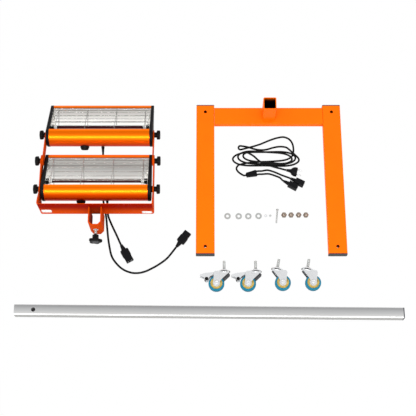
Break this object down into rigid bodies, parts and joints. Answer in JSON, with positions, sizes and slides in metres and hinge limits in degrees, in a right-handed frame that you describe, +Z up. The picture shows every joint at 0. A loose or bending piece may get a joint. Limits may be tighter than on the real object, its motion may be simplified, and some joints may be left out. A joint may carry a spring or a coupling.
{
  "type": "infrared paint curing lamp",
  "caption": "Infrared paint curing lamp laid out as a kit: cassettes in a clamp yoke, square pole, U-shaped floor frame with pole socket, braked and plain casters, leads.",
  "frame": {"origin": "on the floor under the middle of the laid-out kit, leads left out", "axes": "+X along the pole to its capped end, +Y from the pole towards the floor frame's cross tube, +Z up"},
  "size_m": [1.3752, 0.8416, 0.125],
  "materials": {
    "orange": "gloss paint",
    "red": "satin paint",
    "alu": "brushed",
    "mirror": "polished",
    "ruby": "clear ruby quartz",
    "steel": "bright wire",
    "slate": "satin",
    "zinc": "zinc plated",
    "tyre": "moulded tread on a moulded hub",
    "grey": "plated",
    "cord": "matt sheath",
    "black": "fine grain"
  },
  "bodies": {
    "kit": {"caster_stem_1": "zinc", "caster_stem_2": "zinc", "caster_stem_3": "zinc", "caster_stem_4": "zinc", "clamp_strap": "red", "connector_1": "black", "connector_2": "black", "crossbar": "orange", "lamp_lead_1": "cord", "lamp_lead_2": "cord", "lamp_plug_1": "black", "lamp_plug_2": "black", "lead_splitter": "black", "mains_plug": "black", "pole": "alu", "pole_cap": "slate", "rail_cap_left_far": "slate", "rail_cap_left_near": "slate", "rail_cap_right_far": "slate", "rail_cap_right_near": "slate", "rail_left": "orange", "rail_right": "orange", "supply_lead": "cord", "tail_lead_1": "cord", "tail_lead_2": "cord", "yoke": "red"},
    "caster_1_fork": {"caster_fork_1": "zinc"},
    "caster_1_wheel": {"wheel_1": "tyre"},
    "caster_1_brake": {"brake_pedal_1": "grey"},
    "caster_2_fork": {"caster_fork_2": "zinc"},
    "caster_2_wheel": {"wheel_2": "tyre"},
    "caster_2_brake": {"brake_pedal_2": "grey"},
    "caster_3_fork": {"caster_fork_3": "zinc"},
    "caster_3_wheel": {"wheel_3": "tyre"},
    "caster_4_fork": {"caster_fork_4": "zinc"},
    "caster_4_wheel": {"wheel_4": "tyre"},
    "upper_arms": {"upper_arm_left": "red", "upper_arm_right": "red"},
    "lower_cassette": {"lower_cap_left": "black", "lower_cap_right": "black", "lower_guard": "steel", "lower_reflector": "mirror", "lower_shell": "orange", "lower_tube": "ruby"},
    "upper_cassette": {"upper_cap_left": "black", "upper_cap_right": "black", "upper_guard": "steel", "upper_reflector": "mirror", "upper_shell": "orange", "upper_tube": "ruby"},
    "lower_switch_button": {"lower_switch": "black"},
    "upper_switch_button": {"upper_switch": "black"},
    "knob_lower_left": {"knob_lower_left": "black"},
    "knob_lower_right": {"knob_lower_right": "black"},
    "knob_middle_left": {"knob_middle_left": "black"},
    "knob_middle_right": {"knob_middle_right": "black"},
    "knob_upper_left": {"knob_upper_left": "black"},
    "knob_upper_right": {"knob_upper_right": "black"},
    "clamp_screw": {"clamp_screw": "steel"},
    "clamp_knob": {"clamp_knob": "black"}
  },
  "joints": [
    {"name": "caster_1_swivel", "type": "hinge", "parent": "kit", "child": "caster_1_fork", "pos_m": [0.054, -0.24284, 0.022], "axis": [0, 1, 0], "range_deg": [-110, 110]},
    {"name": "caster_1_spin", "type": "hinge", "parent": "caster_1_fork", "child": "caster_1_wheel", "pos_m": [0.026, -0.29234, 0.022], "axis": [0, 0, 1], "continuous": true},
    {"name": "caster_1_brake", "type": "hinge", "parent": "caster_1_fork", "child": "caster_1_brake", "pos_m": [0.04, -0.25664, 0.022], "axis": [0, 0, 1], "range_deg": [0, 3.6]},
    {"name": "caster_2_swivel", "type": "hinge", "parent": "kit", "child": "caster_2_fork", "pos_m": [0.167, -0.24284, 0.022], "axis": [0, 1, 0], "range_deg": [-110, 110]},
    {"name": "caster_2_spin", "type": "hinge", "parent": "caster_2_fork", "child": "caster_2_wheel", "pos_m": [0.139, -0.29234, 0.022], "axis": [0, 0, 1], "continuous": true},
    {"name": "caster_2_brake", "type": "hinge", "parent": "caster_2_fork", "child": "caster_2_brake", "pos_m": [0.153, -0.25664, 0.022], "axis": [0, 0, 1], "range_deg": [0, 3.6]},
    {"name": "caster_3_swivel", "type": "hinge", "parent": "kit", "child": "caster_3_fork", "pos_m": [0.24516, -0.23541, 0.022], "axis": [0.1908, 0.9816, 0], "range_deg": [-100, 100]},
    {"name": "caster_3_spin", "type": "hinge", "parent": "caster_3_fork", "child": "caster_3_wheel", "pos_m": [0.2632, -0.28934, 0.022], "axis": [0, 0, 1], "continuous": true},
    {"name": "caster_4_swivel", "type": "hinge", "parent": "kit", "child": "caster_4_fork", "pos_m": [0.35336, -0.23541, 0.022], "axis": [0.1908, 0.9816, 0], "range_deg": [-100, 100]},
    {"name": "caster_4_spin", "type": "hinge", "parent": "caster_4_fork", "child": "caster_4_wheel", "pos_m": [0.3714, -0.28934, 0.022], "axis": [0, 0, 1], "continuous": true},
    {"name": "upper_arm_fold", "type": "hinge", "parent": "kit", "child": "upper_arms", "pos_m": [-0.409, 0.16066, 0.075], "axis": [1, 0, 0], "range_deg": [0, 90]},
    {"name": "lower_cassette_tilt", "type": "hinge", "parent": "kit", "child": "lower_cassette", "pos_m": [-0.409, 0.04966, 0.075], "axis": [1, 0, 0], "range_deg": [-15, 80]},
    {"name": "upper_cassette_tilt", "type": "hinge", "parent": "upper_arms", "child": "upper_cassette", "pos_m": [-0.409, 0.27948, 0.044], "axis": [1, 0, 0], "range_deg": [0, 60]},
    {"name": "knob_lower_left_turn", "type": "hinge", "parent": "kit", "child": "knob_lower_left", "pos_m": [-0.6173, 0.04966, 0.075], "axis": [1, 0, 0], "continuous": true},
    {"name": "knob_lower_right_turn", "type": "hinge", "parent": "kit", "child": "knob_lower_right", "pos_m": [-0.2007, 0.04966, 0.075], "axis": [1, 0, 0], "continuous": true},
    {"name": "knob_middle_left_turn", "type": "hinge", "parent": "kit", "child": "knob_middle_left", "pos_m": [-0.6173, 0.16066, 0.075], "axis": [1, 0, 0], "continuous": true},
    {"name": "knob_middle_right_turn", "type": "hinge", "parent": "kit", "child": "knob_middle_right", "pos_m": [-0.2007, 0.16066, 0.075], "axis": [1, 0, 0], "continuous": true},
    {"name": "knob_upper_left_turn", "type": "hinge", "parent": "upper_arms", "child": "knob_upper_left", "pos_m": [-0.6127, 0.27948, 0.044], "axis": [1, 0, 0], "continuous": true},
    {"name": "knob_upper_right_turn", "type": "hinge", "parent": "upper_arms", "child": "knob_upper_right", "pos_m": [-0.2053, 0.27948, 0.044], "axis": [1, 0, 0], "continuous": true},
    {"name": "lower_switch_press", "type": "slide", "parent": "lower_cassette", "child": "lower_switch_button", "axis": [0, 0.9397, 0.342], "range_m": [0, 0.0025], "stiffness_N_per_m": 1200, "springref_m": -0.001},
    {"name": "upper_switch_press", "type": "slide", "parent": "upper_cassette", "child": "upper_switch_button", "axis": [0, 0.9397, 0.342], "range_m": [0, 0.0025], "stiffness_N_per_m": 1200, "springref_m": -0.001},
    {"name": "clamp_screw_advance", "type": "slide", "parent": "kit", "child": "clamp_screw", "axis": [0, 1, 0], "range_m": [-0.0135, 0.0201]},
    {"name": "clamp_knob_turn", "type": "hinge", "parent": "clamp_screw", "child": "clamp_knob", "pos_m": [-0.409, -0.11934, 0.0525], "axis": [0, 1, 0], "range_deg": [-3240, 4800]}
  ],
  "couplings": [
    {"joint": "clamp_screw_advance", "follows": "clamp_knob_turn", "m_per_rad": 0.00023873}
  ]
}
